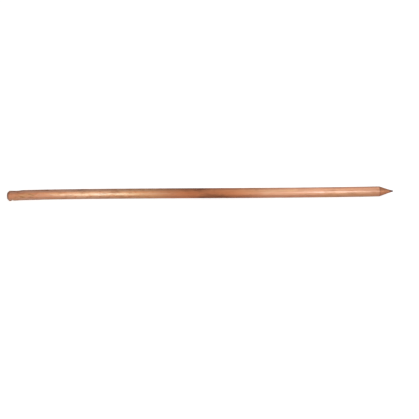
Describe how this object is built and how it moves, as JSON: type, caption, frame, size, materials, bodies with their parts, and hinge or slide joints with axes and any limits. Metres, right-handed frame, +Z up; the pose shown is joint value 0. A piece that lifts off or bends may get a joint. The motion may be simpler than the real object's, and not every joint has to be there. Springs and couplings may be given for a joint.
{
  "type": "earth rod",
  "caption": "Round copper-faced earth rod with a rounded driving end and a conical point, driven into the ground and gripped by an earth clamp.",
  "frame": {"origin": "on the rod's axis, halfway between the driving face and the tip", "axes": "+X along the rod towards its point, +Z up with the rod lying flat"},
  "size_m": [0.61, 0.0158, 0.016],
  "materials": {
    "copper": "drawn copper, satin, lightly tarnished"
  },
  "bodies": {
    "root": {"rod": "copper"}
  },
  "joints": []
}
